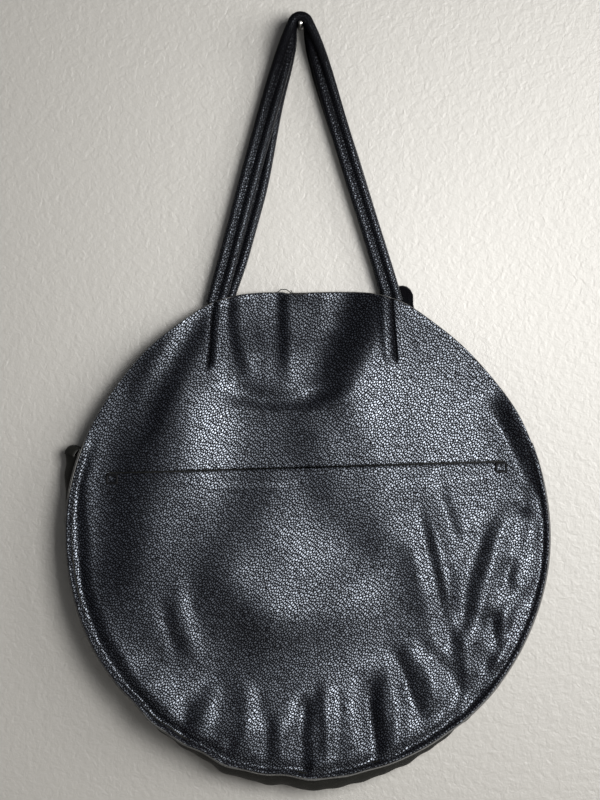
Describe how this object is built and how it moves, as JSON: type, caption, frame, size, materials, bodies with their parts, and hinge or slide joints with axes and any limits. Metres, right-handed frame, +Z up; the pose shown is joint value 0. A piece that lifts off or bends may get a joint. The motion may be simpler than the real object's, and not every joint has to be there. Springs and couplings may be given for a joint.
{
  "type": "circle bag",
  "caption": "Round soft leather tote with two disc panels, a bottom gusset, two rolled straps, a slit pocket and a magnetic snap.",
  "frame": {"origin": "where a hook carries the two straps: the top of the hook's round bar, in the plane between the roots of the two straps", "axes": "+X to the right along the rim, the front faces -Y, the back panel lies against a wall at +Y, +Z is up"},
  "size_m": [0.4036, 0.0583, 0.644],
  "materials": {
    "pebbled_leather": "pebbled, semi-matt",
    "smooth_leather": "smooth, semi-matt",
    "pocket_cloth": "plain woven",
    "filler_cord": "soft cotton",
    "snap_metal": "nickel plate",
    "magnet": "sintered"
  },
  "bodies": {
    "bag": {"back_panel": "pebbled_leather", "front_panel_lower": "pebbled_leather", "gusset": "smooth_leather", "back_strap_end_left": "pebbled_leather", "back_strap_end_right": "pebbled_leather", "back_patch_left": "smooth_leather", "back_patch_right": "smooth_leather", "slit_facing_upper": "smooth_leather", "slit_facing_lower": "smooth_leather", "pocket_pouch": "pocket_cloth", "closure_tab_back": "smooth_leather", "snap_socket": "snap_metal", "snap_magnet": "magnet", "snap_washer_back": "snap_metal"},
    "front_top": {"front_panel_upper": "pebbled_leather", "front_strap_end_left": "pebbled_leather", "front_strap_end_right": "pebbled_leather", "front_patch_left": "smooth_leather", "front_patch_right": "smooth_leather", "closure_tab_front": "smooth_leather", "snap_stud": "snap_metal", "snap_washer_front": "snap_metal"},
    "front_strap": {"front_strap": "pebbled_leather", "front_strap_cords": "filler_cord"},
    "back_strap": {"back_strap": "pebbled_leather", "back_strap_cords": "filler_cord"}
  },
  "joints": [
    {"name": "mouth_opening", "type": "hinge", "parent": "bag", "child": "front_top", "pos_m": [0, -0.03005, -0.34343], "axis": [1, 0, 0], "range_deg": [0, 30]},
    {"name": "front_strap_fold", "type": "hinge", "parent": "front_top", "child": "front_strap", "pos_m": [0, -0.00915, -0.229], "axis": [1, 0, 0], "range_deg": [0, 145]},
    {"name": "back_strap_fold", "type": "hinge", "parent": "bag", "child": "back_strap", "pos_m": [0, 0.00915, -0.229], "axis": [-1, 0, 0], "range_deg": [0, 170]}
  ]
}
